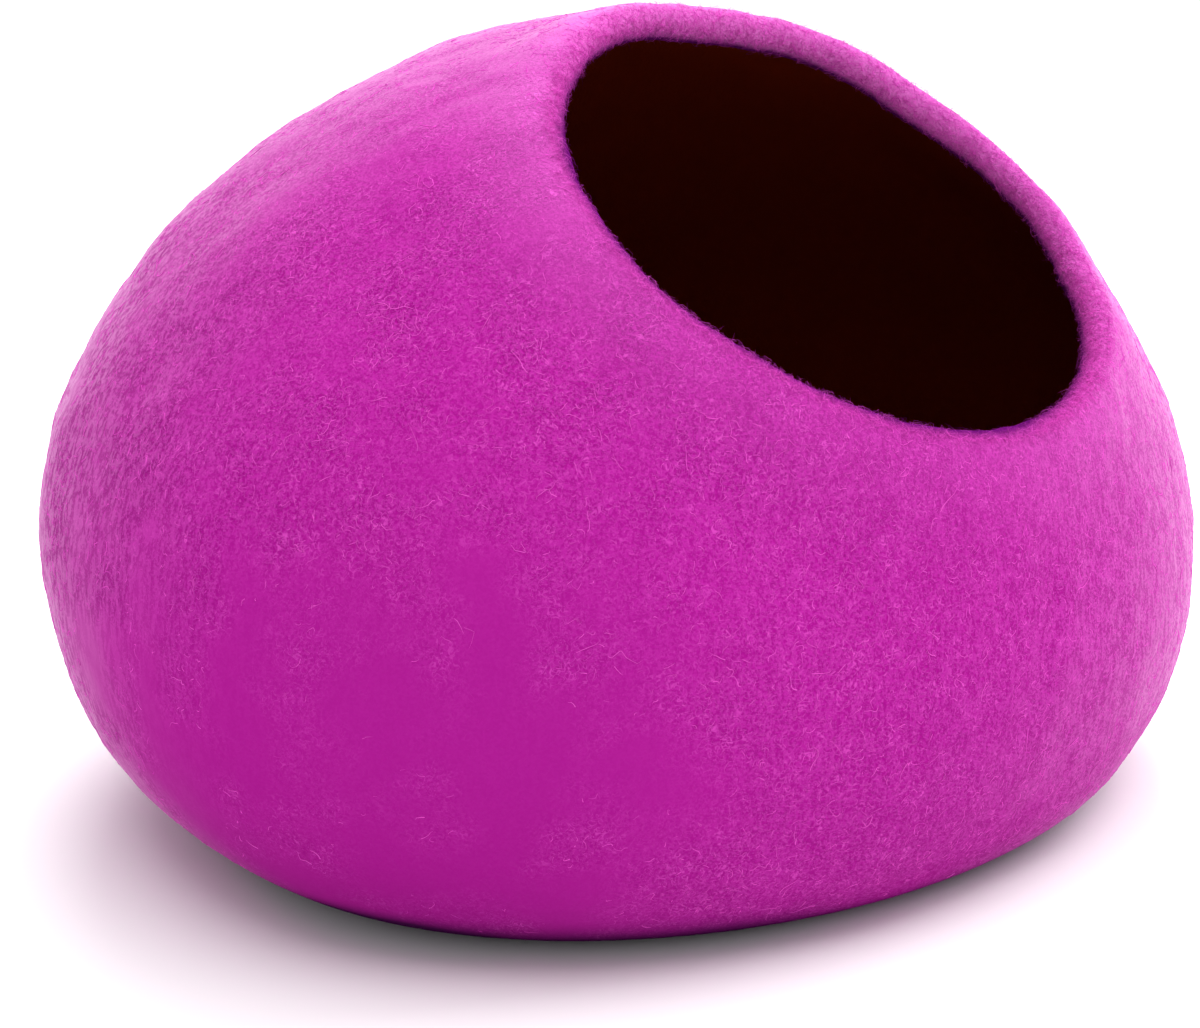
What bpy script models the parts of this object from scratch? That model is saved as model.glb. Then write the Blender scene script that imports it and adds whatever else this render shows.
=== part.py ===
"""A felt cave for a small pet: one seamless pod that leans back, with a round opening facing up and forward.

Metres, +Z up. The pod's front is -Y, its back +Y and its sides +X and -X. It stands on z = 0, and the
origin is at the bottom middle of its box.
"""

import math

import bmesh
import bpy
from mathutils import Vector

# The pod's outside.
HALF_WIDTH = 0.250
FRONT_REACH = 0.190
BACK_REACH = 0.250
HEIGHT = 0.311
WIDEST_Z = 0.105
CROWN_LEAN = 0.037  # how far back the middle moves over one height
MIDDLE = 0.0298  # how far back the middle of the pod's box is from the widest section's
CROWN_PINCH = 0.165  # 0 is a true ellipse, more is more pointed
BASE_SHARE = 0.69  # the flat base's size against the widest section's

# The opening, a cone of sight from a point above the middle of the widest section.
EYE = Vector((0.0, 0.0, 0.165))
OPENING_TILT = math.radians(47.7)  # above level, towards the front
OPENING_HALF_ANGLE_ACROSS = math.radians(45.2)
OPENING_HALF_ANGLE_UP = math.radians(43.1)

# The felt.
WALL = 0.009
LIP_THICKNESS = 0.014
LIP_FLARE = 0.007  # how far the edge of the opening turns out
LIP_REACH = 0.030  # how far from the edge the lip fades into the wall
LIP_ROUNDING = 0.0066
LIP_ROUNDING_STEPS = 4
LIP_ROUNDING_ABOVE = math.radians(50.0)  # only edges that turn more than this are rounded

# The mesh.
AROUND = 64
ROWS = 31  # from pole to pole, with the row at the first pole removed
MEAN_RADIUS = 0.200  # turns an angle seen from the eye into a length on the felt
FURTHEST = 0.600
HALVINGS = 40
FLAT_WITHIN = 1e-6

FELT_COLOUR = (0.479, 0.020, 0.328, 1.0)
FELT_ROUGHNESS = 0.95
FELT_SHEEN = 0.6


def clear_scene():
    """Removes everything that the startup scene holds."""
    for obj in list(bpy.data.objects):
        bpy.data.objects.remove(obj, do_unlink=True)
    for collection in list(bpy.data.collections):
        bpy.data.collections.remove(collection)


def section_share(z):
    """The size of the level section at height z, against the widest one's."""
    if z >= WIDEST_Z:
        climb = min((z - WIDEST_Z) / (HEIGHT - WIDEST_Z), 1.0)
        return math.sqrt(1.0 - climb**2) * (1.0 - CROWN_PINCH * climb**2)
    drop = (WIDEST_Z - z) / WIDEST_Z
    return BASE_SHARE + (1.0 - BASE_SHARE) * math.sqrt(1.0 - drop**2)


def inside_pod(point):
    """Whether a point is inside the pod's outer surface."""
    if not 0.0 < point.z < HEIGHT:
        return False
    share = section_share(point.z)
    if share <= 0.0:
        return False
    back = point.y - CROWN_LEAN * (point.z - WIDEST_Z) / HEIGHT
    reach = FRONT_REACH if back < 0.0 else BACK_REACH
    return math.hypot(point.x / (HALF_WIDTH * share), back / (reach * share)) < 1.0


def pod_distance(direction):
    """How far the pod's outer surface is from the eye in this direction."""
    near, far = 0.0, FURTHEST
    for _ in range(HALVINGS):
        middle = (near + far) / 2.0
        if inside_pod(EYE + middle * direction):
            near = middle
        else:
            far = middle
    return near


def rim_angle(turn):
    """(angle from the opening's axis to its edge, angle around the axis) for one turn around the opening."""
    across = math.tan(OPENING_HALF_ANGLE_ACROSS) * math.cos(turn)
    up = math.tan(OPENING_HALF_ANGLE_UP) * math.sin(turn)
    return math.atan(math.hypot(across, up)), math.atan2(up, across)


def place_on_pod(vertex, first_row):
    """Moves a unit sphere's vertex to the pod, and returns how much of the lip it has, from 0 to 1."""
    turn = math.atan2(vertex.co.y, vertex.co.x)
    row = (math.acos(max(-1.0, min(1.0, vertex.co.z))) - first_row) / (math.pi - first_row)
    edge, around = rim_angle(turn)
    from_axis = edge + (math.pi - edge) * row
    axis = Vector((0.0, -math.cos(OPENING_TILT), math.sin(OPENING_TILT)))
    across = Vector((1.0, 0.0, 0.0))
    upward = axis.cross(across)
    sideways = math.cos(around) * across + math.sin(around) * upward
    direction = math.cos(from_axis) * axis + math.sin(from_axis) * sideways
    lip = math.exp(-(((from_axis - edge) * MEAN_RADIUS / LIP_REACH) ** 2))
    place = EYE + (pod_distance(direction) + LIP_FLARE * lip) * direction
    if abs(place.z) < FLAT_WITHIN:
        place.z = 0.0
    vertex.co = place - Vector((0.0, MIDDLE, 0.0))
    return lip


def make_pod_surface(name):
    """The pod's outer surface as an open mesh, with a vertex group that is 1 at the edge of the opening."""
    mesh = bpy.data.meshes.new(name)
    surface = bmesh.new()
    bmesh.ops.create_uvsphere(surface, u_segments=AROUND, v_segments=ROWS, radius=1.0)
    top = max(surface.verts, key=lambda vertex: vertex.co.z)
    surface.verts.remove(top)
    first_row = math.pi / ROWS
    lips = [place_on_pod(vertex, first_row) for vertex in surface.verts]
    surface.to_mesh(mesh)
    surface.free()
    obj = bpy.data.objects.new(name, mesh)
    group = obj.vertex_groups.new(name="lip")
    for index, lip in enumerate(lips):
        group.add([index], lip, "REPLACE")
    return obj


def give_thickness(obj):
    """Makes the open surface a felt wall, thicker at the lip, with a rounded edge."""
    wall = obj.modifiers.new("wall", "SOLIDIFY")
    wall.thickness = LIP_THICKNESS
    wall.offset = -1.0
    wall.use_even_offset = True
    wall.use_rim = True
    wall.vertex_group = "lip"
    wall.thickness_vertex_group = WALL / LIP_THICKNESS
    rounding = obj.modifiers.new("rounding", "BEVEL")
    rounding.width = LIP_ROUNDING
    rounding.segments = LIP_ROUNDING_STEPS
    rounding.limit_method = "ANGLE"
    rounding.angle_limit = LIP_ROUNDING_ABOVE


def felt_material():
    """Plain wool felt, without the fibres."""
    felt = bpy.data.materials.new("felt")
    felt.use_nodes = True
    shader = felt.node_tree.nodes["Principled BSDF"]
    shader.inputs["Base Color"].default_value = FELT_COLOUR
    shader.inputs["Roughness"].default_value = FELT_ROUGHNESS
    shader.inputs["Sheen Weight"].default_value = FELT_SHEEN
    return felt


def main():
    """Builds the felt pod in its own collection."""
    clear_scene()
    parts = bpy.data.collections.new("felt_cat_cave")
    bpy.context.scene.collection.children.link(parts)
    shell = make_pod_surface("felt_shell")
    parts.objects.link(shell)
    give_thickness(shell)
    shell.data.materials.append(felt_material())
    shell.data.polygons.foreach_set("use_smooth", [True] * len(shell.data.polygons))


main()
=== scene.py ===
"""The felt cat cave: its seamless wall, its dark inside, the loose wool on it, and the studio.

Metres, +Z up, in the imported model's frame: the opening faces -Y and up, and the flat base is on
z = 0.
"""

import logging
import math
from dataclasses import dataclass, field
from enum import Enum

import bpy
import numpy as np
from bpy.types import ID, Material, Mesh, Node, NodeSocket, NodeTree, Object, bpy_prop_collection
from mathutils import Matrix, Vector


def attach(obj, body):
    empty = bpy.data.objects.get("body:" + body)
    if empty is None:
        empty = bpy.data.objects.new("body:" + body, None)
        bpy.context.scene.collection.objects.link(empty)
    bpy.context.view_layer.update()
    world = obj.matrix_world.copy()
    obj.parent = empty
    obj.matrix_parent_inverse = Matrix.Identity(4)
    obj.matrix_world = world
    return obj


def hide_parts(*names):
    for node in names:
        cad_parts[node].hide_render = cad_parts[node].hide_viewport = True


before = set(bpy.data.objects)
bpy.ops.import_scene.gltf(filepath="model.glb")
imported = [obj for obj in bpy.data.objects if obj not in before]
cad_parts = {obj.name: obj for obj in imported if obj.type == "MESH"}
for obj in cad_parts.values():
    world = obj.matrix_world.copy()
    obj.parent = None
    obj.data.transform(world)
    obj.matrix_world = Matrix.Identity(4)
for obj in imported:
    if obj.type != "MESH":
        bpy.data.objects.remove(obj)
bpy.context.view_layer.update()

log = logging.getLogger("felt_cat_cave")

Colour = tuple[float, float, float]
Place = tuple[float, float, float]  # a place, or a number for each axis
Array = np.ndarray
Settings = dict[str, object] | None
Sockets = dict[str | int, object] | None
Span = tuple[float, float]  # the start and the end of a smooth step, which may run downwards

LEAST_LENGTH = 1e-12  # keeps a vector without length from dividing by nothing
LEAST_SHARE = 1e-9  # the same for the section at the very top
MEAN_RADIUS = 0.200  # turns an angle seen from the eye into a length on the felt
FURTHEST = 0.6  # farther from the eye than any of the felt
HALVINGS = 40  # steps of the search for the felt's surface
NUDGE = 1e-3  # the small step, in turns and in rows, that finds the surface's slope
WAVES = 40  # waves in a pattern of soft lumps
LIP_MARK = 0.80  # the inside value at the inner edge of the lip
FRAME_PIXELS = 1200.0  # the photograph's width


# ---- Node trees ----


class Value:
    """One output socket that takes part in node maths as if it were a number."""

    def __init__(self, bench: "NodeBench", socket: NodeSocket) -> None:
        """Wraps a socket of the bench's tree."""
        self.bench = bench
        self.socket = socket

    def __add__(self, other: "Value | float") -> "Value":
        """self + other."""
        return self.bench.maths("ADD", self, other)

    __radd__ = __add__

    def __sub__(self, other: "Value | float") -> "Value":
        """self - other."""
        return self.bench.maths("SUBTRACT", self, other)

    def __rsub__(self, other: "Value | float") -> "Value":
        """other - self."""
        return self.bench.maths("SUBTRACT", other, self)

    def __mul__(self, other: "Value | float") -> "Value":
        """self * other."""
        return self.bench.maths("MULTIPLY", self, other)

    __rmul__ = __mul__

    def __pow__(self, other: "Value | float") -> "Value":
        """self ** other."""
        return self.bench.maths("POWER", self, other)

    def smooth(self, low: float, high: float) -> "Value":
        """A smooth step from 0 at low to 1 at high, where low may be the higher number."""
        settings = {"interpolation_type": "SMOOTHSTEP"}
        sockets = {"Value": self, "From Min": low, "From Max": high, "To Min": 0.0, "To Max": 1.0}
        return self.bench.out("ShaderNodeMapRange", "Result", settings, sockets)


class NodeBench:
    """Adds nodes to one tree, each from its type, its settings and its sockets."""

    def __init__(self, tree: NodeTree) -> None:
        """Works on this tree."""
        self.tree = tree

    @staticmethod
    def _socket(sockets: bpy_prop_collection, name: str | int) -> NodeSocket:
        """The socket in use that has this name or place."""
        if isinstance(name, int):
            return sockets[name]
        return next(socket for socket in sockets if socket.enabled and socket.name == name)

    def node(self, kind: str, settings: Settings = None, sockets: Sockets = None) -> Node:
        """Adds one node.

        Args:
            kind: The node's type.
            settings: Its own settings, set first.
            sockets: Values or Value links for its input sockets, by name or place.

        Returns:
            The node.
        """
        made = self.tree.nodes.new(kind)
        for name, setting in (settings or {}).items():
            setattr(made, name, setting)
        for name, given in (sockets or {}).items():
            target = self._socket(made.inputs, name)
            if isinstance(given, Value):
                self.tree.links.new(given.socket, target)
            else:
                target.default_value = given
        return made

    def out(
        self, kind: str, name: str | int, settings: Settings = None, sockets: Sockets = None
    ) -> Value:
        """Adds one node and returns its output socket of this name or place."""
        made = self.node(kind, settings, sockets)
        return Value(self, self._socket(made.outputs, name))

    def maths(self, operation: str, first: Value | float, second: Value | float = 0.0) -> Value:
        """A Math node on two values."""
        return self.out("ShaderNodeMath", 0, {"operation": operation}, {0: first, 1: second})

    def blend(self, factor: Value | float, first: Value | Colour, second: Value | Colour) -> Value:
        """The mix of two colours, first at factor 0 and second at factor 1."""
        ends = [end if isinstance(end, Value) else (*end, 1.0) for end in (first, second)]
        sockets = {0: factor, 6: ends[0], 7: ends[1]}
        return self.out("ShaderNodeMix", 2, {"data_type": "RGBA"}, sockets)

    def vector(self, operation: str, first: object, second: object = (0.0, 0.0, 0.0)) -> Value:
        """A Vector Math node that returns a vector."""
        settings = {"operation": operation}
        return self.out("ShaderNodeVectorMath", "Vector", settings, {0: first, 1: second})

    def scaled(self, vector: Value, by: Value | float) -> Value:
        """A vector times a number."""
        settings = {"operation": "SCALE"}
        return self.out("ShaderNodeVectorMath", "Vector", settings, {0: vector, "Scale": by})

    def cloud(self, where: Value, scale: float, detail: float, warp: float = 0.0) -> Value:
        """A noise of this many cells to a metre."""
        sockets = {"Vector": where, "Scale": scale, "Detail": detail, "Distortion": warp}
        return self.out("ShaderNodeTexNoise", 0, None, sockets)

    def mark(self, attribute: str) -> Value:
        """What one of the mesh's attributes says."""
        return self.out("ShaderNodeAttribute", "Fac", {"attribute_name": attribute})


# ---- Finishes ----

INSIDE = "inside"  # 0 on the outer face of the felt, 1 well inside the pod
RIM_LIGHT = "rim"  # painted light: how pale the lip is painted, most at the edge of the opening
WOOLLY = "woolly"  # how loose the skin's fibres are, which comes in patches
# Where the nap is low, the felt's material also darkens it with painted shade.
NAP = "nap"  # how full the skin's fine nap is, low where it has been rubbed smooth
FURROWED = "furrowed"  # how much upright furrows take the place of the skin's round pebbles
FOOT_SHADE = "foot_shade"  # how much painted shade darkens the felt where it turns under to the floor
WISP_GROWTH = "wisp_growth"  # where loose wool grows on the outer face
LIP_GROWTH = "lip_growth"  # where it grows on the lip
TONE = "tone"  # a random number for each loose fibre
ROOT_NORMAL = "root_normal"  # the felt's normal at a fibre's root
FIBRE_LENGTH = "fibre_length"


def new_material(name: str) -> tuple[Material, NodeBench, Node]:
    """A new material, the bench for its tree, and its shader."""
    material = bpy.data.materials.new(name)
    material.use_nodes = True
    shader = material.node_tree.nodes["Principled BSDF"]
    return material, NodeBench(material.node_tree), shader


def set_plain(shader: Node, values: dict[str, object]) -> None:
    """Gives sockets of the shader values that are the same all over the surface."""
    for name, value in values.items():
        shader.inputs[name].default_value = value


@dataclass(frozen=True)
class WoolColours:
    """The colours of the dyed wool, and of the painted shade and painted light on it, as linear
    light.

    Attributes:
        painted_shade: Painted shade on the felt, towards the floor and where its nap is thin.
        pit: The felt in the small hollows of its skin, darkened there as painted shade.
        knob: The felt on the small knobs of its skin, paler there as painted light.
        body: The matted felt between pit and knob.
        pale: The tips of the fibres, and the painted light on the rim.
        misty: The nap seen edge on, and the painted sheen on the rim.
        fringe: The thin violet line inside the lip, and the painted shade on the lowest felt all
            round.
        foot_shade: Painted shade on the felt where it turns under to the floor.
        inner: The near-black brown of the inside.
    """

    painted_shade: Colour = (0.245, 0.0045, 0.165)
    pit: Colour = (0.345, 0.0030, 0.232)
    knob: Colour = (0.520, 0.0250, 0.370)
    body: Colour = (0.425, 0.0135, 0.294)
    pale: Colour = (0.800, 0.095, 0.600)
    misty: Colour = (0.605, 0.250, 0.508)
    fringe: Colour = (0.120, 0.005, 0.130)
    foot_shade: Colour = (0.055, 0.0045, 0.060)
    inner: Colour = (0.165, 0.0160, 0.0025)


@dataclass(frozen=True)
class FeltFinish:
    """Wet-felted wool: a pebbled skin with curled fibres in it, and the dark inside past the lip.

    Attributes:
        colours: The wool's colours.
        pebbles: Pebbles to a metre along the skin.
        furrows: Upright furrows to a metre along the skin.
        furrow_squeeze: Squeezes the furrows' pattern, so that they are long in Z.
        knob_step: From pit to knob in the grain.
        curls: Curled fibres to a metre along the skin.
        fine_curls: How many times as close the fine ones are.
        curl_warp: How curled they are.
        curl_step: From beside a curl to on it.
        clumps: Clumps of curled fibres to a metre.
        clump_step: From the skin between clumps to a clump.
        relief: Height of the skin's grain, in metres.
        rubbed_patch_shade: How much painted shade darkens the felt where its nap is thin.
        low_shade: How much painted shade darkens the felt at the floor.
        low_shade_step: From where none of that painted shade shows to the floor.
        curl_pale: How pale a curled fibre is.
        rim_painted_light: How pale the rim is painted, as painted light.
        rim_painted_sheen: How much of the nap's colour is painted on the rim, as painted sheen.
        contact_shade_violet: How much painted shade turns the lowest felt violet, all round.
        contact_shade_step: From where that starts, down.
        foot_shade_step: The same for the painted shade where the felt turns under.
        fringe_step: From the outer colour to the fringe, over the lip.
        inner_step: From the fringe to the inner colour.
        sheen: How strongly the nap shines at the edges of the form.
        mist: How much of the felt the nap hides where it is seen edge on.
        mist_power: How close to edge on that has to be.
        mist_step: From the lip, where it hides none, out.
        mist_low_step: From the floor, where it hides none, up.
        mist_foot_step: The same on furrowed skin.
        mist_furrowed: How much of the nap shows low on furrowed skin.
        pit_shelter: How much of the nap a pit hides.
    """

    colours: WoolColours = field(default_factory=WoolColours)
    pebbles: float = 880.0
    furrows: float = 440.0
    furrow_squeeze: Place = (1.0, 1.0, 0.30)
    knob_step: Span = (0.43, 0.57)
    curls: float = 400.0
    fine_curls: float = 1.6
    curl_warp: float = 0.9
    curl_step: Span = (0.045, 0.010)
    clumps: float = 95.0
    clump_step: Span = (0.42, 0.62)
    relief: float = 0.0020
    # Painted shade where the nap is thin and towards the floor.
    rubbed_patch_shade: float = 0.34
    low_shade: float = 0.22
    low_shade_step: Span = (0.11, 0.0)
    curl_pale: float = 0.62
    # Painted light and painted sheen on the rim.
    rim_painted_light: float = 0.75
    rim_painted_sheen: float = 0.28
    # Painted shade, violet, on the lowest felt.
    contact_shade_violet: float = 0.75
    contact_shade_step: Span = (0.013, 0.001)
    # Painted shade where the felt turns under to the floor.
    foot_shade_step: Span = (0.021, 0.001)
    fringe_step: Span = (0.08, 0.36)
    inner_step: Span = (0.42, 0.75)
    sheen: float = 0.10
    mist: float = 1.20
    mist_power: float = 3.5
    mist_step: Span = (0.14, 0.01)
    mist_low_step: Span = (0.005, 0.070)
    mist_foot_step: Span = (0.0, 0.012)
    mist_furrowed: float = 1.2
    pit_shelter: float = 0.50

    def _curl_lines(self, bench: NodeBench, place: Value, scale: float, seed: float) -> Value:
        """Thin curled lines, as the contours of a cloud.

        Args:
            bench: The material's tree.
            place: Object coordinates.
            scale: Curls to a metre.
            seed: Moves the pattern.

        Returns:
            0 beside the lines and 1 on them.
        """
        moved = bench.vector("ADD", place, (seed, -seed, 0.5 * seed))
        cloud = bench.cloud(moved, scale, 1.0, self.curl_warp)
        return bench.maths("ABSOLUTE", cloud - 0.5).smooth(*self.curl_step)

    def build(self, name: str) -> Material:
        """Makes the material.

        Args:
            name: Its name.

        Returns:
            The material.
        """
        wool = self.colours
        material, bench, matted = new_material(name)
        place = bench.out("ShaderNodeTexCoord", "Object")
        height_up = bench.out("ShaderNodeSeparateXYZ", "Z", None, {"Vector": place})
        inside, rim, woolly = map(bench.mark, (INSIDE, RIM_LIGHT, WOOLLY))
        nap, furrowed, foot_shade = map(bench.mark, (NAP, FURROWED, FOOT_SHADE))

        upright = bench.vector("MULTIPLY", place, self.furrow_squeeze)
        share = 0.30 + 0.34 * furrowed
        ground = bench.cloud(place, self.pebbles, 2.0) * (1.0 - share)
        ground = ground + bench.cloud(upright, self.furrows, 1.5) * share
        raised = ground.smooth(*self.knob_step)
        lines = self._curl_lines(bench, place, self.curls, 0.0)
        fine = self._curl_lines(bench, place, self.curls * self.fine_curls, 3.7)
        clumped = bench.cloud(place, self.clumps, 2.0).smooth(*self.clump_step)
        between = 0.75 - 0.5 * clumped
        curls = woolly * bench.maths("MAXIMUM", lines * clumped, fine * between)

        grain = (0.08 + 0.92 * woolly) * (0.74 + 0.60 * furrowed)
        # Painted shade in the skin's small hollows and painted light on its knobs, following the
        # bump's own pattern.
        skin = bench.blend(raised, wool.pit, wool.knob)
        skin = bench.blend(grain, wool.body, skin)
        # Painted shade: darker towards the floor, and where the nap is thin, as in the rubbed
        # patch.
        low = height_up.smooth(*self.low_shade_step) * self.low_shade
        skin = bench.blend((1.0 - nap) * self.rubbed_patch_shade + low, skin, wool.painted_shade)
        # Paler curled fibres and the rim's painted light; then the rim's painted sheen in the nap's
        # colour.
        outer = bench.blend(curls * self.curl_pale + rim * self.rim_painted_light, skin, wool.pale)
        outer = bench.blend(rim * self.rim_painted_sheen, outer, wool.misty)
        # Painted shade: the lowest felt, all round, is violet where it meets the floor.
        contact_shade = height_up.smooth(*self.contact_shade_step) * self.contact_shade_violet
        outer = bench.blend(contact_shade, outer, wool.fringe)
        # Painted shade, nearly black violet, where the felt turns under to the floor.
        outer = bench.blend(height_up.smooth(*self.foot_shade_step) * foot_shade, outer, wool.foot_shade)
        fringed = bench.blend(inside.smooth(*self.fringe_step), outer, wool.fringe)
        colour = bench.blend(inside.smooth(*self.inner_step), fringed, wool.inner)

        height = grain * (ground + curls * 0.15) * (1.0 + 0.4 * furrowed)
        sockets = {"Height": height, "Strength": 1.0, "Distance": self.relief}
        bump = bench.out("ShaderNodeBump", "Normal", None, sockets)
        bench.tree.links.new(colour.socket, matted.inputs["Base Color"])
        bench.tree.links.new(bump.socket, matted.inputs["Normal"])
        misty = bench.node("ShaderNodeBsdfPrincipled")
        set_plain(misty, {"Base Color": (*wool.misty, 1.0)})
        for shader, sheen in ((matted, 0.0), (misty, self.sheen)):
            set_plain(shader, {"Roughness": 0.95, "Specular IOR Level": 0.0})
            set_plain(shader, {"Sheen Weight": sheen, "Sheen Roughness": 0.25})
            set_plain(shader, {"Sheen Tint": (1.0, 0.72, 0.97, 1.0)})

        facing = bench.out("ShaderNodeLayerWeight", "Facing", None, {"Blend": 0.5})
        on_furrows = height_up.smooth(*self.mist_foot_step) * furrowed * self.mist_furrowed
        bare = bench.maths("MAXIMUM", height_up.smooth(*self.mist_low_step), on_furrows)
        sheltered = (1.0 - raised) * self.pit_shelter * grain
        free = inside.smooth(*self.mist_step) * bare * (1.0 - sheltered)
        hidden = facing**self.mist_power * self.mist * nap * free
        shaders = {1: Value(bench, matted.outputs[0]), 2: Value(bench, misty.outputs[0])}
        both = bench.node("ShaderNodeMixShader", None, {0: hidden, **shaders})
        end = material.node_tree.nodes["Material Output"]
        bench.tree.links.new(both.outputs[0], end.inputs["Surface"])
        return material


@dataclass(frozen=True)
class LooseWoolFinish:
    """Single wool fibres, most of them paler than the matted felt that they stand on.

    Attributes:
        colours: The wool's colours.
        least: The paleness of the darkest outer fibre, from 0 for the felt's own colour.
        most: The paleness of the lightest outer fibre.
        fringe_step: From the outer colour to the fringe, over the lip.
        inner_step: From the fringe to the inner colour.
    """

    colours: WoolColours = field(default_factory=WoolColours)
    least: float = 0.35
    most: float = 1.60
    fringe_step: Span = (0.10, 0.35)
    inner_step: Span = (0.45, 0.80)

    def build(self, name: str) -> Material:
        """Makes the material.

        Args:
            name: Its name.

        Returns:
            The material.
        """
        wool = self.colours
        material, bench, shader = new_material(name)
        tone, inside = bench.mark(TONE), bench.mark(INSIDE)
        paleness = self.least + (self.most - self.least) * tone**2.0
        outer = bench.blend(paleness, wool.body, wool.pale)
        fringed = bench.blend(inside.smooth(*self.fringe_step), outer, wool.fringe)
        colour = bench.blend(inside.smooth(*self.inner_step), fringed, wool.inner)
        bench.tree.links.new(colour.socket, shader.inputs["Base Color"])
        set_plain(shader, {"Roughness": 0.90, "Specular IOR Level": 0.0})
        return material


@dataclass(frozen=True)
class FloorFinish:
    """The studio's plain pale floor."""

    colour: Colour = (0.95, 0.95, 0.95)

    def build(self, name: str) -> Material:
        """Makes the material of this name."""
        material, _, shader = new_material(name)
        set_plain(shader, {"Base Color": (*self.colour, 1.0), "Roughness": 0.9})
        set_plain(shader, {"Specular IOR Level": 0.1})
        return material


# ---- The felt wall ----


def put_in_scene(name: str, data: ID) -> Object:
    """Makes an object of a mesh, light or camera and links it to the scene."""
    made = bpy.data.objects.new(name, data)
    bpy.context.scene.collection.objects.link(made)
    return made


def read_numbers(
    rows: bpy_prop_collection, name: str, kind: type = np.float32, width: int = 1
) -> Array:
    """Reads one field of all of a mesh's points, corners, faces or attribute values.

    Args:
        rows: The points, corners, faces or values.
        name: The field's name.
        kind: The numbers' type.
        width: How many numbers each row has.

    Returns:
        The numbers, with a row for each if there are more than one.
    """
    numbers = np.empty(len(rows) * width, dtype=kind)
    rows.foreach_get(name, numbers)
    return numbers.reshape(-1, width) if width > 1 else numbers


def write_marks(mesh: Mesh, marks: dict[str, Array]) -> None:
    """Keeps a number for each of the mesh's points under each name."""
    for name, values in marks.items():
        attribute = mesh.attributes.new(name, "FLOAT", "POINT")
        attribute.data.foreach_set("value", values.astype(np.float32))


def unit(vectors: Array) -> Array:
    """The vectors of the last axis, each one metre long."""
    return vectors / np.maximum(np.linalg.norm(vectors, axis=-1, keepdims=True), LEAST_LENGTH)


def ramp(values: Array, start: float, over: float) -> Array:
    """0 up to the start, and an even rise to 1 over this much more."""
    return np.clip((values - start) / over, 0.0, 1.0)


def soft_waves(points: Array, wavelength: float, seed: int) -> Array:
    """Smooth random lumps in space, from many faint waves.

    Args:
        points: Places, with x, y and z on the last axis.
        wavelength: The lumps' rough length, in metres.
        seed: Picks one pattern.

    Returns:
        A height for each place, about from -1 to 1.
    """
    draw = np.random.default_rng(seed)
    ways = unit(draw.normal(size=(WAVES, 3)))
    lengths = wavelength * draw.uniform(0.7, 1.6, WAVES)
    starts = draw.uniform(0.0, 2.0 * math.pi, WAVES)
    total = np.zeros(points.shape[:-1])
    for way, length, start in zip(ways, lengths, starts):
        total += np.cos(points @ way * (2.0 * math.pi / length) + start)
    return total / math.sqrt(WAVES / 2.0) / 2.0


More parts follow.
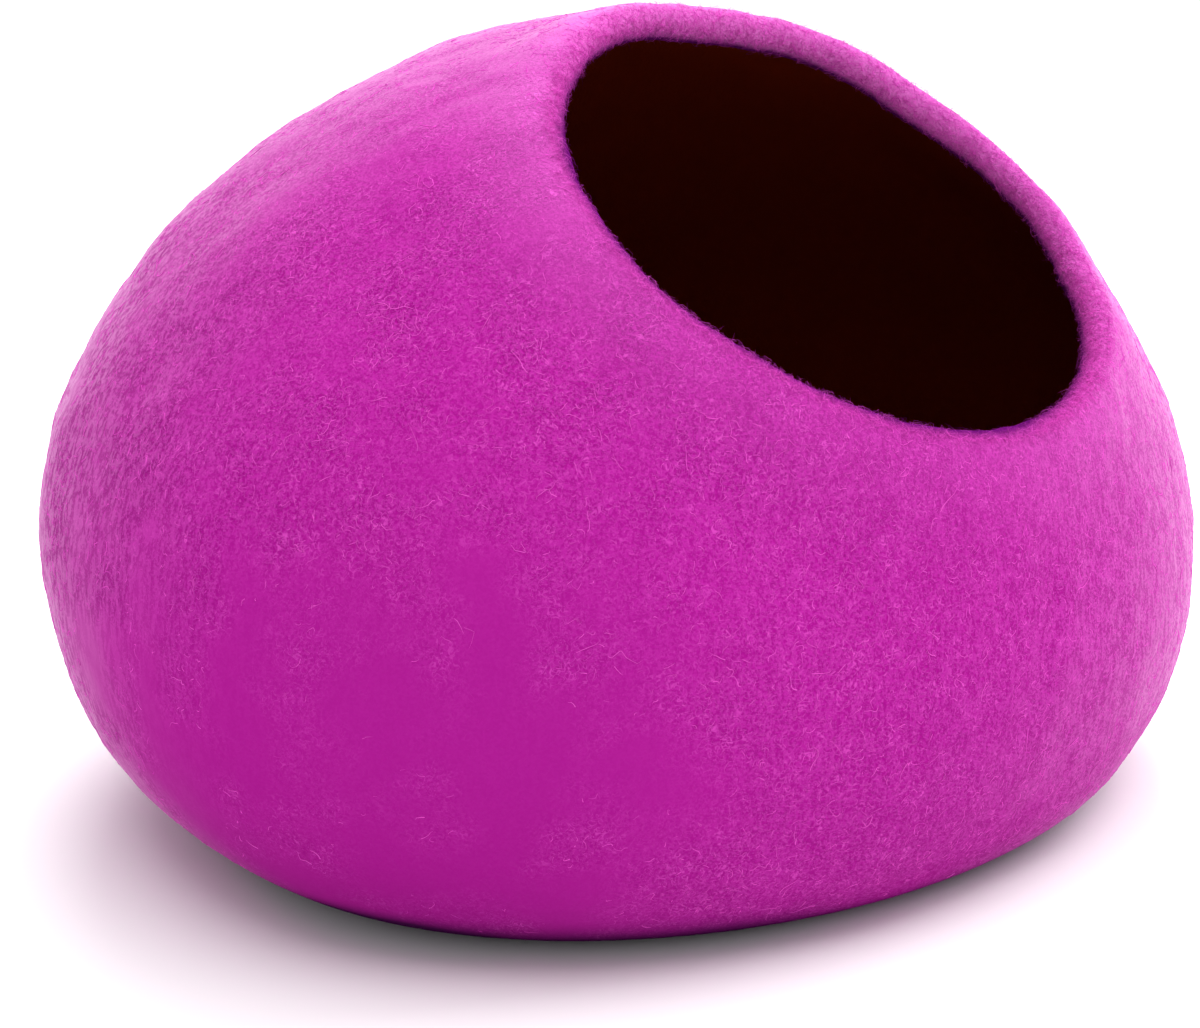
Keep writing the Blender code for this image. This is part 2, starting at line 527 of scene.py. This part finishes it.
@dataclass
class PodShape:
    """The pod's outer surface as a function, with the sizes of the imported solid.

    Attributes:
        half_width: Half of the widest section, along X.
        front_reach: The widest section's depth in front of its middle.
        back_reach: The same, behind.
        height: The whole pod's height.
        widest_z: Height of the widest section.
        crown_lean: How far back the middle moves over one height.
        crown_pinch: 0 is a true ellipse, more is more pointed.
        base_share: The flat base's size against the widest section's.
        middle: How far back the middle of the pod's box is from the widest section's.
        eye_z: Height of the point that the opening is seen from.
        tilt: Angle of the opening's axis above level, in degrees.
        half_across: Half of the opening's angle across, in degrees.
        half_up: Half of the opening's angle up and down, in degrees.
        edge_drift: How far hand felting moved the opening's edge, in degrees: all round, then by
            the cosine and sine of the turn, and by those of twice the turn.
    """

    half_width: float = 0.250
    front_reach: float = 0.190
    back_reach: float = 0.250
    height: float = 0.311
    widest_z: float = 0.105
    crown_lean: float = 0.037
    crown_pinch: float = 0.165
    base_share: float = 0.69
    middle: float = 0.0298
    eye_z: float = 0.165
    tilt: float = 47.7
    half_across: float = 47.3
    half_up: float = 45.2
    edge_drift: tuple[float, ...] = (0.10, -0.45, -0.29, -0.04, -0.20)

    def inside(self, points: Array) -> Array:
        """Whether each point is inside the outer surface.

        Args:
            points: Places, with x, y and z on the last axis.

        Returns:
            True or False for each.
        """
        x, y, z = points[..., 0], points[..., 1], points[..., 2]
        climb = ramp(z, self.widest_z, self.height - self.widest_z)
        drop = np.clip((self.widest_z - z) / self.widest_z, 0.0, 1.0)
        crown = np.sqrt(1.0 - climb**2) * (1.0 - self.crown_pinch * climb**2)
        belly = self.base_share + (1.0 - self.base_share) * np.sqrt(1.0 - drop**2)
        share = np.maximum(np.where(z > self.widest_z, crown, belly), LEAST_SHARE)
        back = y - self.crown_lean * (z - self.widest_z) / self.height
        reach = np.where(back < 0.0, self.front_reach, self.back_reach)
        across = np.hypot(x / (self.half_width * share), back / (reach * share))
        return (z > 0.0) & (z < self.height) & (across < 1.0)

    def surface(self, directions: Array) -> Array:
        """Where rays from the eye meet the outer surface.

        Args:
            directions: Unit vectors on the last axis.

        Returns:
            The distance along each.
        """
        eye = np.array([0.0, 0.0, self.eye_z])
        near = np.zeros(directions.shape[:-1])
        far = np.full(directions.shape[:-1], FURTHEST)
        for _ in range(HALVINGS):
            half = (near + far) / 2.0
            within = self.inside(eye + directions * half[..., None])
            near, far = np.where(within, half, near), np.where(within, far, half)
        return near

    def directions(self, turns: Array, rows: Array) -> tuple[Array, Array]:
        """Unit vectors from the eye for places on the felt.

        Args:
            turns: Angles round the opening.
            rows: 0 at the opening's edge and 1 at the far pole.

        Returns:
            The directions, and the angle of each past the opening's edge.
        """
        across = math.tan(math.radians(self.half_across)) * np.cos(turns)
        up = math.tan(math.radians(self.half_up)) * np.sin(turns)
        even, *waves = self.edge_drift
        drift = even + sum(
            wave * trig(fold * turns)
            for wave, fold, trig in zip(waves, (1, 1, 2, 2), (np.cos, np.sin) * 2)
        )
        edge = np.arctan(np.hypot(across, up)) + np.radians(drift)
        around = np.arctan2(up, across)
        tilt = math.radians(self.tilt)
        axis = np.array([0.0, -math.cos(tilt), math.sin(tilt)])
        side = np.array([1.0, 0.0, 0.0])
        top = np.cross(axis, side)
        past = (math.pi - edge)[None, :] * rows[:, None]
        angle = edge[None, :] + past
        level = np.cos(around)[:, None] * side + np.sin(around)[:, None] * top
        return np.cos(angle)[..., None] * axis + np.sin(angle)[..., None] * level[None], past


@dataclass
class FeltPod:
    """The one piece of felt: outer face, rolled lip and inner face, closed all over.

    Attributes:
        shape: The outer surface.
        wall: The felt's thickness.
        lip: Its thickness at the edge of the opening.
        lip_flare: How far that edge turns out.
        lip_reach: How far from the edge the lip fades into the wall.
        around: Points round the opening.
        outer_rows: Rows of points on the outer face.
        lip_rows: Rows over the lip's rounding.
        inner_rows: Rows of points on the inner face.
        inner_crowding: How much closer those are near the lip, from 1 for not at all.
        lump_height: Height of the broad lumps that hand felting leaves.
        ripple_height: Height of the small ones.
        lump_lengths: Length of the broad, the middling and the small lumps.
        settled: The height below which the lumps fade, as the base rests flat.
        seed: Picks the lumps.
        smooth_place: The middle of the patch that has been rubbed smooth.
        smooth_reach: How far that patch reaches along each axis.
        view_right: The direction that is right, as the camera sees the pod.
    """

    shape: PodShape = field(default_factory=PodShape)
    wall: float = 0.009
    lip: float = 0.014
    lip_flare: float = 0.007
    lip_reach: float = 0.030
    around: int = 300
    outer_rows: int = 112
    lip_rows: int = 10
    inner_rows: int = 38
    inner_crowding: float = 1.25
    lump_height: float = 0.0011
    ripple_height: float = 0.00030
    lump_lengths: tuple[float, ...] = (0.085, 0.038, 0.016)
    settled: float = 0.03
    seed: int = 363
    smooth_place: Place = (-0.225, -0.100, 0.075)
    smooth_reach: Place = (0.100, 0.150, 0.085)
    view_right: Place = (0.68, -0.73, 0.0)

    def _face(self, rows: Array) -> tuple[Array, Array, Array]:
        """Points, outward normals and lip shares of the smooth outer face.

        Args:
            rows: 0 at the opening's edge and 1 at the far pole.

        Returns:
            The three arrays, a row for each of rows and a column for each turn.
        """
        turns = np.linspace(0.0, 2.0 * math.pi, self.around, endpoint=False)
        rows = np.minimum(rows, 1.0 - 2.0 * NUDGE)
        eye = np.array([0.0, -self.shape.middle, self.shape.eye_z])
        grids = []
        for turn_step, row_step in ((0.0, 0.0), (NUDGE, 0.0), (0.0, NUDGE)):
            ways, past = self.shape.directions(turns + turn_step, rows + row_step)
            lips = np.exp(-((past * MEAN_RADIUS / self.lip_reach) ** 2))
            reach = self.shape.surface(ways) + self.lip_flare * lips
            grids.append((ways * reach[..., None] + eye, lips))
        points, lips = grids[0]
        normals = unit(np.cross(grids[2][0] - points, grids[1][0] - points))
        return points, normals, lips

    def _lumps(self, points: Array, seed: int) -> Array:
        """How far hand felting lifts each point, fading to nothing where the base rests."""
        broad, middling, small = (
            soft_waves(points, length, seed + step) for step, length in enumerate(self.lump_lengths)
        )
        free = ramp(points[..., 2], 0.0, self.settled) ** 2
        lumps = self.lump_height * (broad + 0.35 * middling)
        return (lumps + self.ripple_height * small) * free

    def _skin(self, points: Array) -> dict[str, Array]:
        """How woolly, furrowed and full of nap the skin is at each point, and its painted shade low
        down.

        It is smoothest low on the left front, and most furrowed where the pod turns away on the
        left. Left and right are as the camera sees the pod.

        Args:
            points: Places, with x, y and z on the last axis.

        Returns:
            The values of the four attributes, by name.
        """
        off = (points - np.array(self.smooth_place)) / np.array(self.smooth_reach)
        rubbed = np.exp(-(np.linalg.norm(off, axis=-1) ** 4))
        right = points @ np.array(self.view_right)
        patches = soft_waves(points, 0.040, 71) + 0.7 * soft_waves(points, 0.018, 72)
        patchy = 0.30 - 0.24 * ramp(right, -0.02, 0.10)
        woolly = np.clip(0.85 - 0.78 * rubbed + patchy * patches, 0.05, 1.15)
        furrowed = ramp(-right, 0.10, 0.09) + 0.45 * ramp(right, 0.10, 0.08)
        # Painted shade where the felt turns under: in a window across the middle of the view, up to
        # twice as strong on the left.
        foot_shade = ramp(-right, -0.095, 0.05) * ramp(right, -0.15, 0.05)
        foot_shade = foot_shade * (1.0 + ramp(-right, 0.035, 0.04))
        # Low nap also brings painted shade in the material: in the rubbed patch and in an upright
        # band on the right.
        nap = 1.0 - 0.98 * rubbed - 0.35 * np.exp(-(((right - 0.118) / 0.042) ** 2))
        return {WOOLLY: woolly, NAP: np.clip(nap, 0.0, 1.0), FURROWED: furrowed, FOOT_SHADE: foot_shade}

    def _over_lip(self, outer: Array, normals: Array, inner: Array, bends: Array) -> list[Array]:
        """Rings over the lip's ragged rounding.

        Args:
            outer: The outer face's rings of points, from the lip.
            normals: Their outward normals.
            inner: The inner face's rings.
            bends: Angles over the rounding, from 0 at the outer face.

        Returns:
            A ring for each bend.
        """
        edge, out = outer[0], normals[0]
        along = unit(np.roll(edge, -1, axis=0) - np.roll(edge, 1, axis=0))
        toward = edge - outer[1]
        toward = toward - (toward * along).sum(1, keepdims=True) * along
        toward = unit(toward - (toward * out).sum(1, keepdims=True) * out)
        half = ((edge - inner[0]) * out).sum(1, keepdims=True) / 2.0
        ragged = 1.0 + 0.08 * soft_waves(edge, 0.030, 31)[:, None]
        ragged = ragged + 0.04 * soft_waves(edge, 0.011, 32)[:, None]
        middle = edge - half * out
        return [
            middle + half * (math.cos(bend) * out + ragged * math.sin(bend) * toward)
            for bend in bends
        ]

    def _rings(self) -> tuple[list[Array], list[Array], list[Array]]:
        """Rings from the outer pole over the lip to the inner one, with their depth and the rim's
        painted light.
        """
        points, normals, lips = self._face(np.linspace(0.0, 1.0, self.outer_rows, endpoint=False))
        outer = points + normals * self._lumps(points, self.seed)[..., None]
        rows = np.linspace(0.0, 1.0, self.inner_rows, endpoint=False) ** self.inner_crowding
        points, in_normals, in_lips = self._face(rows)
        thick = self.wall + (self.lip - self.wall) * in_lips
        inner = points + in_normals * (self._lumps(points, self.seed) - thick)[..., None]
        inner += in_normals * (0.5 * self._lumps(inner, self.seed + 12))[..., None]

        bends = np.linspace(0.0, math.pi, self.lip_rows + 2)[1:-1]
        rings = [*outer[::-1], *self._over_lip(outer, normals, inner, bends), *inner]
        turns = np.linspace(0.0, 2.0 * math.pi, self.around, endpoint=False)
        late = np.maximum(2.3 + 1.5 * np.sin(turns) + 2.3 * np.cos(turns), 0.7)
        depth = [np.zeros(self.around)] * self.outer_rows
        depth += [LIP_MARK * (bend / math.pi) ** late for bend in bends]
        depth += list(inner_depth(inner))
        # Painted light on the rim, varying round the opening, most on the far side, and rising over
        # the lip's rounding.
        rim_light_round = 0.54 + 0.35 * np.sin(turns) + 0.25 * np.cos(turns)
        rim_light_over_lip = [np.full(self.around, 1.0 + 0.6 * bend / math.pi) for bend in bends]
        return rings, depth, [rim_light_round * lip for lip in (*lips[::-1], *rim_light_over_lip, *in_lips)]

    def build(self, name: str) -> Object:
        """Makes the closed mesh, with the felt's marks.

        Args:
            name: The piece's name.

        Returns:
            The object, linked to the scene.
        """
        rings, depth, rim_light = self._rings()
        count, around = len(rings), self.around
        poles = [rings[0].mean(axis=0), rings[-1].mean(axis=0)]
        poles[0][2] = 0.0
        vertices = np.concatenate([*rings, np.array(poles)])
        here = np.arange(around)
        there = (here + 1) % around
        starts = np.arange(count - 1)[:, None] * around
        low, side = starts + here[None, :], starts + there[None, :]
        quads = np.stack([low, low + around, side + around, side], axis=-1).reshape(-1, 4)
        last = (count - 1) * around
        caps = [(count * around, int(a), int(b)) for a, b in zip(here, there)]
        caps += [(count * around + 1, int(last + b), int(last + a)) for a, b in zip(here, there)]
        mesh = bpy.data.meshes.new(name)
        mesh.from_pydata(vertices.tolist(), [], quads.tolist() + caps)
        mesh.validate()
        if signed_volume(mesh) < 0.0:
            mesh.flip_normals()
        marks = {INSIDE: np.concatenate([*depth, [0.0, 1.0]])}
        # The rim's painted light, for the material.
        marks[RIM_LIGHT] = np.concatenate([*rim_light, [0.0, 0.0]])
        write_marks(mesh, marks | self._skin(vertices))
        mesh.polygons.foreach_set("use_smooth", [True] * len(mesh.polygons))
        return put_in_scene(name, mesh)

    def dress(self, piece: Object, material: Material) -> None:
        """Gives the piece its felt."""
        piece.data.materials.append(material)


def inner_depth(inner: Array) -> Array:
    """How far inside the pod each point of the inner face is.

    Args:
        inner: The inner face's points, a row for each ring from the lip.

    Returns:
        LIP_MARK at the lip, rising to 1 within about 7 mm of it.
    """
    steps = np.linalg.norm(np.diff(inner, axis=0), axis=-1)
    run = np.concatenate([np.zeros((1, inner.shape[1])), np.cumsum(steps, axis=0)])
    return LIP_MARK + (1.0 - LIP_MARK) * ramp(run, 0.0, 0.007)


def signed_volume(mesh: Mesh) -> float:
    """The volume that the mesh closes, below 0 where its faces point in."""
    mesh.calc_loop_triangles()
    places = read_numbers(mesh.vertices, "co", np.float64, 3)
    tri = places[read_numbers(mesh.loop_triangles, "vertices", np.int32, 3)]
    return float(np.einsum("ij,ij->i", tri[:, 0], np.cross(tri[:, 1], tri[:, 2])).sum() / 6.0)


# ---- Loose wool ----


class Lay(Enum):
    """How a loose fibre lies on the felt."""

    FLAT = "follows the surface in a curl"
    RAISED = "stands off the surface"


@dataclass
class LooseWool:
    """Single fibres, grown on the felt by a node tree.

    Attributes:
        lay: How the fibres lie.
        count: About how many there are.
        length: Their mean length.
        width: Their width at the root.
        points: Points along each fibre.
        lift: How steeply a raised fibre stands, or how high a flat one arches in metres.
        curl: How far a fibre strays, as a share of its length.
        curl_scale: Curls to a metre.
        where: Name of the attribute that says where the fibres grow.
        seed: Picks one growth.
    """

    lay: Lay
    count: int
    length: float
    width: float
    points: int
    lift: float
    curl: float
    curl_scale: float
    where: str
    seed: int

    INPUTS = {
        "Felt": "Geometry",
        "Density": "Float",
        "Length": "Float",
        "Width": "Float",
        "Lift": "Float",
        "Curl": "Float",
        "Curl Scale": "Float",
        "Points": "Int",
        "Seed": "Int",
        "Wool": "Material",
    }
    UNEVEN = (0.55, 1.45)  # the shortest and the longest fibre, against the mean length
    LEANING = (0.3, 1.7)  # the same for how steeply raised fibres stand
    STRAY_POWER = 0.8  # below 1, a fibre strays most of its way near the root
    TAPER, TAPER_POWER = 0.8, 1.5  # how much thinner a fibre's tip is, and how late it gets so
    SUNK = 0.10  # how deep a flat fibre's ends lie in the felt, as a share of its width
    SIDES = 3  # sides of a fibre's section

    def _tree(self) -> NodeTree:
        """The node tree that grows the fibres, with a named input for each size."""
        tree = bpy.data.node_groups.new("loose_wool", "GeometryNodeTree")
        for name, kind in self.INPUTS.items():
            tree.interface.new_socket(name, in_out="INPUT", socket_type="NodeSocket" + kind)
        tree.interface.new_socket("Fibres", in_out="OUTPUT", socket_type="NodeSocketGeometry")
        bench = NodeBench(tree)
        given = bench.node("NodeGroupInput")
        size = {socket.name: Value(bench, socket) for socket in given.outputs if socket.name}

        def drawn(low: object, high: object, offset: int, kind: str = "FLOAT") -> Value:
            """A random number or vector from low to high for each root or fibre."""
            sockets = {"Min": low, "Max": high, "Seed": size["Seed"] + float(offset)}
            return bench.out("FunctionNodeRandomValue", "Value", {"data_type": kind}, sockets)

        def named(attribute: str, kind: str = "FLOAT") -> Value:
            """The value of a named attribute."""
            settings, sockets = {"data_type": kind}, {"Name": attribute}
            return bench.out("GeometryNodeInputNamedAttribute", "Attribute", settings, sockets)

        def stored(geometry: Value, attribute: str, value: Value, kind: str, domain: str) -> Value:
            """The geometry with a value kept under a name."""
            settings = {"data_type": kind, "domain": domain}
            sockets = {"Geometry": geometry, "Name": attribute, "Value": value}
            return bench.out("GeometryNodeStoreNamedAttribute", "Geometry", settings, sockets)

        def changed(kind: str, geometry: Value, **sockets: object) -> Value:
            """The geometry after a node that changes it."""
            sockets["Geometry"] = geometry
            return bench.out("GeometryNode" + kind, "Geometry", None, sockets)

        density = size["Density"] * named(self.where)
        roots = bench.node(
            "GeometryNodeDistributePointsOnFaces",
            {"distribute_method": "RANDOM"},
            {"Mesh": size["Felt"], "Density": density, "Seed": size["Seed"]},
        )
        points, normal = (Value(bench, roots.outputs[name]) for name in ("Points", "Normal"))
        points = stored(points, ROOT_NORMAL, normal, "FLOAT_VECTOR", "POINT")
        length = size["Length"] * drawn(*self.UNEVEN, 1)
        points = stored(points, FIBRE_LENGTH, length, "FLOAT", "POINT")
        anyway = drawn((-1.0, -1.0, -1.0), (1.0, 1.0, 1.0), 2, "FLOAT_VECTOR")
        upright = named(ROOT_NORMAL, "FLOAT_VECTOR")
        way = bench.vector("NORMALIZE", bench.vector("CROSS_PRODUCT", upright, anyway))
        if self.lay is Lay.RAISED:
            lift = size["Lift"] * drawn(*self.LEANING, 3)
            way = bench.vector("ADD", way, bench.scaled(upright, lift))
        turned = bench.out(
            "FunctionNodeAlignRotationToVector", "Rotation", {"axis": "Z"}, {"Vector": way}
        )

        ends = {"Start": (0, 0, 0), "End": (0, 0, 1)}
        line = bench.out("GeometryNodeCurvePrimitiveLine", "Curve", {"mode": "POINTS"}, ends)
        sockets = {"Curve": line, "Count": size["Points"]}
        line = bench.out("GeometryNodeResampleCurve", "Curve", {"mode": "COUNT"}, sockets)
        sockets = {"X": 1.0, "Y": 1.0, "Z": named(FIBRE_LENGTH)}
        scale = bench.out("ShaderNodeCombineXYZ", "Vector", None, sockets)
        sockets = {"Points": points, "Instance": line, "Rotation": turned, "Scale": scale}
        grown = bench.out("GeometryNodeInstanceOnPoints", "Instances", None, sockets)
        grown = changed("RealizeInstances", grown)
        grown = stored(grown, TONE, drawn(0.0, 1.0, 4), "FLOAT", "CURVE")

        along = bench.out("GeometryNodeSplineParameter", "Factor")
        place = bench.out("GeometryNodeInputPosition", "Position")
        sockets = {"Vector": place, "Scale": size["Curl Scale"], "Detail": 0.0}
        cloud = bench.out("ShaderNodeTexNoise", "Color", {"noise_dimensions": "3D"}, sockets)
        stray = bench.vector("SUBTRACT", cloud, (0.5, 0.5, 0.5))
        far = size["Curl"] * named(FIBRE_LENGTH) * along**self.STRAY_POWER * 2.0
        grown = changed("SetPosition", grown, Offset=bench.scaled(stray, far))
        if self.lay is Lay.FLAT:
            faces = {"target_element": "FACES"}
            near = bench.out("GeometryNodeProximity", "Position", faces, {0: size["Felt"]})
            arch = along * (1.0 - along) * 4.0 * size["Lift"] * named(TONE)
            arch = arch - size["Width"] * self.SUNK
            above = bench.scaled(named(ROOT_NORMAL, "FLOAT_VECTOR"), arch)
            above = bench.vector("ADD", near, above)
            grown = changed("SetPosition", grown, Position=above)
        thin = size["Width"] * 0.5 * (1.0 - self.TAPER * along**self.TAPER_POWER)
        circle = {"Resolution": self.SIDES, "Radius": 1.0}
        ring = bench.out("GeometryNodeCurvePrimitiveCircle", "Curve", {"mode": "RADIUS"}, circle)
        sockets = {"Curve": grown, "Profile Curve": ring, "Scale": thin, "Fill Caps": True}
        tubes = bench.out("GeometryNodeCurveToMesh", "Mesh", None, sockets)
        tubes = changed("RealizeInstances", tubes)
        tubes = changed("SetMaterial", tubes, Material=size["Wool"])
        bench.node("NodeGroupOutput", None, {"Fibres": tubes})
        return tree

    def grow(self, name: str, felt: Object, wool: Material) -> Object:
        """Grows the fibres on the felt and makes them a plain mesh.

        Args:
            name: The new piece's name.
            felt: The piece that they grow on.
            wool: Their material.

        Returns:
            The object, linked to the scene.
        """
        host = put_in_scene(name + "_host", felt.data)
        tree = self._tree()
        growth = host.modifiers.new("growth", "NODES")
        growth.node_group = tree
        sizes = ("length", "width", "lift", "curl", "curl_scale", "points", "seed")
        values = {size.replace("_", " ").title(): getattr(self, size) for size in sizes}
        values["Density"] = self.count / grown_area(felt.data, self.where)
        values["Wool"] = wool
        for item in tree.interface.items_tree:
            if item.in_out == "INPUT" and item.name in values:
                growth[item.identifier] = values[item.name]
        graph = bpy.context.evaluated_depsgraph_get()
        mesh = bpy.data.meshes.new_from_object(
            host.evaluated_get(graph), preserve_all_data_layers=True, depsgraph=graph
        )
        host.modifiers.remove(growth)
        bpy.data.objects.remove(host)
        mesh.name = name
        for spare in (ROOT_NORMAL, FIBRE_LENGTH):
            if spare in mesh.attributes:
                mesh.attributes.remove(mesh.attributes[spare])
        mesh.polygons.foreach_set("use_smooth", [True] * len(mesh.polygons))
        piece = put_in_scene(name, mesh)
        log.info("%s: %d triangles", name, sum(len(face.vertices) - 2 for face in mesh.polygons))
        return piece


def grown_area(mesh: Mesh, where: str) -> float:
    """The mesh's area in square metres, with each face counted by its share of an attribute.

    Args:
        mesh: The felt.
        where: The attribute's name.

    Returns:
        The area.
    """
    shares = read_numbers(mesh.attributes[where].data, "value")
    areas = read_numbers(mesh.polygons, "area")
    starts = read_numbers(mesh.polygons, "loop_start", np.int32)
    corners = read_numbers(mesh.loops, "vertex_index", np.int32)
    return float((areas * shares[corners[starts]]).sum())


def mark_growth(felt: Object) -> None:
    """Writes the attributes that say where loose wool grows: on the outer face and on the lip.

    Args:
        felt: The felt wall, with its marks.
    """
    mesh = felt.data
    heights = read_numbers(mesh.vertices, "co", width=3)[:, 2].astype(np.float64)
    inside = read_numbers(mesh.attributes[INSIDE].data, "value")
    woolly = read_numbers(mesh.attributes[WOOLLY].data, "value")
    off_floor = ramp(heights, 0.009, 0.014)
    outside = np.clip(1.0 - inside / 0.30, 0.0, 1.0)
    on_lip = np.exp(-(((inside - 0.13) / 0.12) ** 2)) * (inside > 0.0)
    write_marks(mesh, {WISP_GROWTH: off_floor * outside * woolly**2, LIP_GROWTH: on_lip})


# ---- Studio ----


def bearing(azimuth: float, elevation: float) -> Vector:
    """The unit vector to an azimuth, 0 in front and 90 on the +X side, and an elevation."""
    turn, climb = math.radians(azimuth), math.radians(elevation)
    level = math.cos(climb)
    return Vector((math.sin(turn) * level, -math.cos(turn) * level, math.sin(climb)))


@dataclass(frozen=True)
class SoftBox:
    """One soft studio light.

    Attributes:
        name: Its name.
        azimuth: Its direction from the pod, in degrees.
        elevation: Its angle above the floor, in degrees.
        distance: Its distance from the pod.
        width: Its width.
        height: Its height.
        power: Its power in watts.
    """

    name: str
    azimuth: float
    elevation: float
    distance: float
    width: float
    height: float
    power: float

    def place(self, target: Vector) -> None:
        """Adds the light, turned to the target."""
        data = bpy.data.lights.new(self.name, "AREA")
        data.shape = "RECTANGLE"
        data.size, data.size_y, data.energy = self.width, self.height, self.power
        light = put_in_scene(self.name, data)
        way = bearing(self.azimuth, self.elevation)
        light.location = target + way * self.distance
        light.rotation_euler = (-way).to_track_quat("-Z", "Y").to_euler()


@dataclass
class Studio:
    """The pale floor, the lights, the sky and the photograph's view.

    Attributes:
        azimuth: The camera's direction from the pod, in degrees.
        elevation: Its angle above level, in degrees.
        distance: Its distance from the point that it looks at.
        aim_right: How far that point is to the right of the pod's middle, as the camera sees it.
        aim_up: The same, upwards.
        focal_pixels: The focal length in pixels of the photograph.
        sensor: The camera sensor's width in millimetres.
        floor_reach: How far the floor goes each way.
        sky: The strength of the even white light all round.
        ceiling: The power of the light from above, on each square metre.
        ceiling_spread: The angle that it seems to fill, in degrees.
        boxes: The soft boxes.
        boxes_aim: The height on the pod that they are turned to.
    """

    azimuth: float = -46.823
    elevation: float = 14.30
    distance: float = 1.088
    aim_right: float = -0.028
    aim_up: float = -0.042
    focal_pixels: float = 2710.0
    sensor: float = 36.0
    floor_reach: float = 30.0
    sky: float = 0.72
    ceiling: float = 1.80
    ceiling_spread: float = 60.0
    boxes: tuple[SoftBox, ...] = (
        SoftBox("right_box", 65.0, 35.0, 1.9, 1.2, 1.2, 24.0),
        SoftBox("back_box", 135.0, 50.0, 1.9, 1.4, 1.0, 30.0),
    )
    boxes_aim: float = 0.15

    def add_floor(self) -> None:
        """Adds the floor."""
        mesh = bpy.data.meshes.new("studio_floor")
        side = self.floor_reach
        corners = [(-side, -side, 0.0), (side, -side, 0.0), (side, side, 0.0), (-side, side, 0.0)]
        mesh.from_pydata(corners, [], [(0, 1, 2, 3)])
        mesh.materials.append(FloorFinish().build("studio_floor"))
        floor = put_in_scene("studio_floor", mesh)

    def add_lights(self) -> None:
        """Adds the sky, the light from above and the soft boxes."""
        world = bpy.data.worlds.new("studio_sky")
        world.use_nodes = True
        background = world.node_tree.nodes["Background"]
        set_plain(background, {"Color": (1.0, 1.0, 1.0, 1.0), "Strength": self.sky})
        bpy.context.scene.world = world
        data = bpy.data.lights.new("ceiling", "SUN")
        data.energy, data.angle = self.ceiling, math.radians(self.ceiling_spread)
        put_in_scene("ceiling", data).location = (0.0, 0.0, 2.0)
        for box in self.boxes:
            box.place(Vector((0.0, 0.0, self.boxes_aim)))

    def add_camera(self, shape: PodShape) -> None:
        """Adds the camera at the photograph's angle.

        Args:
            shape: The pod, for its middle.
        """
        turn = math.radians(self.azimuth)
        back = bearing(self.azimuth, self.elevation)
        right = Vector((math.cos(turn), math.sin(turn), 0.0))
        aim = Vector((0.0, -shape.middle, shape.height / 2.0))
        aim = aim + self.aim_right * right + self.aim_up * back.cross(right)
        data = bpy.data.cameras.new("photo_view")
        data.sensor_fit = "HORIZONTAL"
        data.sensor_width = self.sensor
        data.lens = self.focal_pixels / FRAME_PIXELS * data.sensor_width
        data.clip_start, data.clip_end = 0.05, 100.0
        camera = put_in_scene("photo_view", data)
        camera.location = aim + self.distance * back
        camera.rotation_euler = back.to_track_quat("Z", "Y").to_euler()
        bpy.context.scene.camera = camera

    def build(self, shape: PodShape) -> None:
        """Adds everything round the pod."""
        self.add_floor()
        self.add_lights()
        self.add_camera(shape)
        bpy.context.scene.view_settings.view_transform = "Standard"


# ---- The whole ----


def grow_wool(felt: Object) -> list[Object]:
    """Grows every kind of loose wool on the felt.

    Args:
        felt: The felt wall.

    Returns:
        The new pieces.
    """
    mark_growth(felt)
    wool = LooseWoolFinish().build("loose_wool")
    flat, raised, skin, rim = Lay.FLAT, Lay.RAISED, WISP_GROWTH, LIP_GROWTH
    kinds = {
        "curls_one": LooseWool(flat, 7200, 0.0021, 0.00032, 5, 0.00008, 2.2, 480.0, skin, 102),
        "curls_two": LooseWool(flat, 7200, 0.0021, 0.00032, 5, 0.00008, 2.2, 480.0, skin, 103),
        "curls_three": LooseWool(flat, 7200, 0.0028, 0.00034, 5, 0.00010, 2.0, 380.0, skin, 104),
        "wisps": LooseWool(flat, 1500, 0.0055, 0.00038, 8, 0.00020, 1.4, 260.0, skin, 105),
        "lip_fuzz": LooseWool(raised, 5000, 0.0016, 0.00012, 4, 0.45, 2.0, 620.0, rim, 106),
        "lip_loops": LooseWool(flat, 6000, 0.0034, 0.00013, 5, 0.00190, 1.8, 480.0, rim, 107),
    }
    return [kind.grow(name, felt, wool) for name, kind in kinds.items()]


def main() -> None:
    """Builds the felt pod, its loose wool and the studio."""
    logging.basicConfig(level=logging.INFO, format="%(name)s %(message)s")
    pod = FeltPod()
    felt = pod.build("felt_wall")
    pod.dress(felt, FeltFinish().build("felt"))
    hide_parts("felt_shell")
    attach(felt, "root")
    log.info("felt_wall: %d faces", len(felt.data.polygons))
    fibres = grow_wool(felt)
    for piece in fibres:
        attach(piece, "root")
    Studio().build(pod.shape)


if __name__ == "__main__":
    main()
